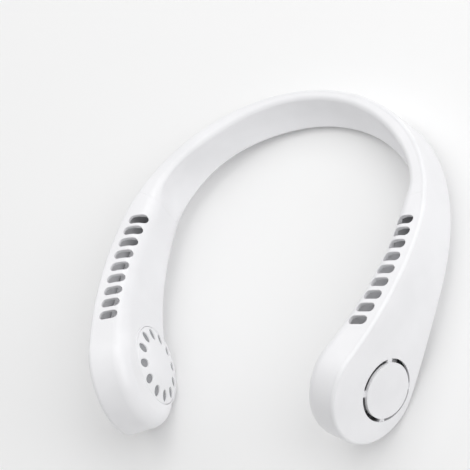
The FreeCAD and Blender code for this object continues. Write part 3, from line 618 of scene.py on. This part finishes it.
def hole_punch(sizes, ball, centre, circle):
    """Oval punch with a flared top, standing square to the dome at the circle of holes."""
    flare = sizes.hole_edge
    above = PUNCH_ABOVE * sizes.grille_wall
    below = PUNCH_BELOW * sizes.grille_wall
    bpy.ops.object.select_all(action="DESELECT")
    bpy.ops.mesh.primitive_cylinder_add(
        vertices=HOLE_SIDES, radius=sizes.hole_width / 2 + flare, depth=above, location=(0, 0, above / 2))
    punch = bpy.context.object
    bpy.ops.object.transform_apply(location=True, rotation=True, scale=True)
    edit_all(punch)
    bpy.ops.transform.resize(value=(sizes.hole_length / sizes.hole_width, 1, 1))
    pick_faces(punch, lambda face: face.normal.z < -LEVEL_NORMAL)
    turns = edge_turns(math.pi / 2)
    for turn, after in zip(turns, turns[1:]):
        bpy.ops.mesh.inset(
            thickness=flare * (math.sin(after) - math.sin(turn)),
            depth=flare * (math.cos(turn) - math.cos(after)))
    bpy.ops.mesh.extrude_region_move(TRANSFORM_OT_translate={"value": (0, 0, -below)})
    bpy.ops.object.mode_set(mode="OBJECT")
    tilt = math.asin(circle / ball)
    spot = Vector((circle, 0, centre + ball * math.cos(tilt)))
    punch.data.transform(Matrix.Translation(spot) @ Matrix.Rotation(tilt, 4, "Y"))
    return punch


def punch_ring(cover, first, count):
    """Punch a ring of holes with copies of the first punch, and merge the close points that this leaves."""
    copies = []
    for k in range(1, count):
        copy = bpy.data.objects.new("punch", first.data.copy())
        copy.data.transform(Matrix.Rotation(2 * math.pi * k / count, 4, "Z"))
        bpy.context.scene.collection.objects.link(copy)
        copies.append(copy)
    select_only(first)
    for copy in copies:
        copy.select_set(True)
    bpy.ops.object.join()
    apply_modifier(cover, "BOOLEAN", operation="DIFFERENCE", solver="EXACT", object=first)
    select_only(first)
    bpy.ops.object.delete()
    edit_all(cover)
    bpy.ops.mesh.remove_doubles(threshold=MERGE_DISTANCE)
    bpy.ops.mesh.dissolve_degenerate(threshold=MERGE_DISTANCE)
    bpy.ops.object.mode_set(mode="OBJECT")


def model_screen(context, side, place, reach, ball, centre):
    """Dust screen: a shallow dome of gauze that lies against the inside of the cover; its grey is partly
    painted shade, a sheet that stands in for the shade seen in the holes.
    """
    sizes = context.scene.neck_fan_sizes
    colours = context.scene.neck_fan_colours
    rings = dome_rings(ball, centre, math.asin(reach / ball))
    screen = drawn_dome("intake_screen_" + side, rings, rings[0][1] - SCREEN_FOOT, sizes.screen_wall)
    screen.data.transform(place)
    # The gauze's grey is partly painted shade, put where the holes show shade
    gauze = made_once("woven_nylon_mesh", woven_mesh, colours.thread, colours.opening, sizes.screen_pitch)
    finish_piece(screen, BASE, "grey_plastic", gauze)


def model_grille(context, side):
    """Domed cover with a ring of oval holes, and the dust screen behind it, whose grey is partly painted
    shade in the holes.
    """
    sizes = context.scene.neck_fan_sizes
    place, radius = grille_place(side)
    profile, ball, centre = cover_profile(radius, sizes)
    cover = drawn_dome("intake_grille_" + side + "_dome", profile, 0.0, sizes.grille_wall)
    circle = radius - sizes.hole_margin - sizes.hole_length / 2
    punch_ring(cover, hole_punch(sizes, ball, centre, circle), sizes.hole_count)
    cover.data.transform(place)
    finish_piece(cover, BASE, "white_shell", white_abs(), "intake_grille_" + side)
    reach = radius - sizes.grille_wall - SCREEN_EDGE
    depth = sizes.grille_wall + SCREEN_GAP
    model_screen(context, side, place, reach, ball - depth, centre)


def looking_at(azimuth, elevation, roll, distance):
    """Matrix of a camera or light that looks at the target; azimuth 0 looks along +Y, and roll turns it."""
    level = math.cos(elevation)
    back = Vector((math.sin(azimuth) * level, -math.cos(azimuth) * level, math.sin(elevation)))
    right = Matrix.Rotation(roll, 3, back) @ Vector((math.cos(azimuth), math.sin(azimuth), 0.0))
    matrix = Matrix((right, back.cross(right), back)).transposed().to_4x4()
    matrix.translation = VIEW_TARGET + back * distance
    return matrix


def add_to_scene(scene, data, matrix):
    """Object that holds a light or a camera, placed by the matrix."""
    holder = bpy.data.objects.new(data.name, data)
    scene.collection.objects.link(holder)
    holder.matrix_world = matrix
    return holder


class NECKFAN_OT_housing(bpy.types.Operator):
    """Finish the moulded shells of the horseshoe, with softly rounded rims on the air slots"""
    bl_idname = "neckfan.housing"
    bl_label = "Housing"

    def execute(self, context):
        for node in ("outer_shell", "neck_pad", "inner_shell_left", "inner_shell_right"):
            piece = merged_copy(node, node + "_moulding")
            if node.startswith("inner_shell"):
                soften_slots(piece, context.scene.neck_fan_sizes)
            finish_piece(piece, BASE, "white_shell", white_abs(), node)
        return {"FINISHED"}


class NECKFAN_OT_grilles(bpy.types.Operator):
    """Model the domed intake grilles with their ring of oval holes and their dust screens, whose grey is
    partly painted shade in the holes
    """
    bl_idname = "neckfan.grilles"
    bl_label = "Intake grilles"

    def execute(self, context):
        for side in SIDES:
            model_grille(context, side)
        return {"FINISHED"}


class NECKFAN_OT_caps(bpy.types.Operator):
    """Finish the round caps of the outer face with rounded edges"""
    bl_idname = "neckfan.caps"
    bl_label = "Intake caps"

    def execute(self, context):
        for side in SIDES:
            node = "intake_cap_" + side
            piece = rounded_copy(node, node + "_moulding", context.scene.neck_fan_sizes.cap_edge)
            finish_piece(piece, BASE, "white_shell", white_abs(), node)
        return {"FINISHED"}


class NECKFAN_OT_fans(bpy.types.Operator):
    """Finish the fan wheels, motors, shafts and carriers"""
    bl_idname = "neckfan.fans"
    bl_label = "Fans"

    def execute(self, context):
        colours = context.scene.neck_fan_colours
        nylon = moulded_plastic(
            "moulded_grey_nylon", colours.wheel, colours.wheel_shade,
            roughness=0.5, grain=0.8 * MM, grain_depth=0.1)
        can = plated_metal("zinc_plated_can", colours.can, roughness=0.42, streak=(1.0, 0.1, 1.0))
        for side in SIDES:
            paint(nylon, "impeller_" + side, "motor_base_" + side)
            paint(can, "motor_" + side)
            paint(plated_steel(), "shaft_" + side, "motor_screws_" + side)
        return {"FINISHED"}


class NECKFAN_OT_cells(bpy.types.Operator):
    """Finish the film-wrapped cells"""
    bl_idname = "neckfan.cells"
    bl_label = "Cells"

    def execute(self, context):
        colours = context.scene.neck_fan_colours
        film = cell_film("shrunk_pvc_film", colours.cell, colours.cell_fold)
        for side in SIDES:
            paint(film, "battery_" + side)
        return {"FINISHED"}


class NECKFAN_OT_controls(bpy.types.Operator):
    """Finish the button, switch, socket, light and board"""
    bl_idname = "neckfan.controls"
    bl_label = "Controls"

    def execute(self, context):
        colours = context.scene.neck_fan_colours
        grey = moulded_plastic(
            "moulded_grey_abs", colours.button, colours.button_shade,
            roughness=0.36, grain=0.9 * MM, grain_depth=0.08)
        black = moulded_plastic(
            "moulded_black_nylon", colours.switch, colours.switch_shade,
            roughness=0.5, grain=0.5 * MM, grain_depth=0.1)
        resin = moulded_plastic(
            "lamp_resin", colours.lamp, colours.lamp_shade,
            roughness=0.25, grain=0.4 * MM, grain_depth=0.05)
        button = rounded_copy("power_button", "power_button_cap", context.scene.neck_fan_sizes.button_edge)
        finish_piece(button, "button", "grey_button", grey, "power_button")
        paint(black, "switch_body", "switch_plunger")
        paint(circuit_board("solder_masked_epoxy", colours.board, colours.trace), "main_board")
        paint(plated_steel(), "board_screws", "usb_socket")
        paint(clear_moulding("clear_polycarbonate", colours.lens), "light_pipe")
        paint(resin, "led_chip")
        return {"FINISHED"}


class NECKFAN_OT_stage(bpy.types.Operator):
    """Set the floor, the soft lights and the camera"""
    bl_idname = "neckfan.stage"
    bl_label = "Stage"

    def execute(self, context):
        scene = context.scene
        view = scene.neck_fan_view
        scene.view_settings.view_transform = "Standard"

        bpy.ops.object.select_all(action="DESELECT")
        bpy.ops.mesh.primitive_plane_add(size=view.floor_size)
        floor = context.object
        floor.name = "floor"
        floor.data.materials.append(matt_card("matt_pale_card", scene.neck_fan_colours.floor))

        scene.world = bpy.data.worlds.new("studio")
        scene.world.use_nodes = True
        sky = scene.world.node_tree.nodes["Background"]
        sky.inputs["Color"].default_value = WHITE
        sky.inputs["Strength"].default_value = view.sky

        for name, box in SOFTBOXES.items():
            lamp = bpy.data.lights.new(name + "_softbox", "AREA")
            lamp.energy = getattr(view, name)
            lamp.size = box["size"]
            angles = math.radians(box["azimuth"]), math.radians(box["elevation"])
            add_to_scene(scene, lamp, looking_at(*angles, 0.0, box["distance"]))

        camera = bpy.data.cameras.new("camera")
        camera.lens = view.lens
        camera.clip_end = VIEW_REACH
        pose = looking_at(view.azimuth, view.elevation, view.roll, view.distance)
        scene.camera = add_to_scene(scene, camera, pose)
        return {"FINISHED"}


OPERATORS = (
    NECKFAN_OT_housing, NECKFAN_OT_grilles, NECKFAN_OT_caps, NECKFAN_OT_fans, NECKFAN_OT_cells,
    NECKFAN_OT_controls, NECKFAN_OT_stage)


class NECKFAN_PT_panel(bpy.types.Panel):
    """Lists the steps in the order in which they run"""
    bl_idname = "NECKFAN_PT_panel"
    bl_label = "Neck fan"
    bl_space_type = "VIEW_3D"
    bl_region_type = "UI"
    bl_category = "Neck fan"

    def draw(self, context):
        for operator in OPERATORS:
            self.layout.operator(operator.bl_idname)


CLASSES = (NeckFanSizes, NeckFanColours, NeckFanView) + OPERATORS + (NECKFAN_PT_panel,)


def register():
    for item in CLASSES:
        bpy.utils.register_class(item)
    bpy.types.Scene.neck_fan_sizes = PointerProperty(type=NeckFanSizes)
    bpy.types.Scene.neck_fan_colours = PointerProperty(type=NeckFanColours)
    bpy.types.Scene.neck_fan_view = PointerProperty(type=NeckFanView)


def unregister():
    del bpy.types.Scene.neck_fan_view
    del bpy.types.Scene.neck_fan_colours
    del bpy.types.Scene.neck_fan_sizes
    for item in reversed(CLASSES):
        bpy.utils.unregister_class(item)


def main():
    register()
    bpy.ops.neckfan.housing()
    bpy.ops.neckfan.grilles()
    bpy.ops.neckfan.caps()
    bpy.ops.neckfan.fans()
    bpy.ops.neckfan.cells()
    bpy.ops.neckfan.controls()
    bpy.ops.neckfan.stage()


if __name__ == "__main__":
    main()
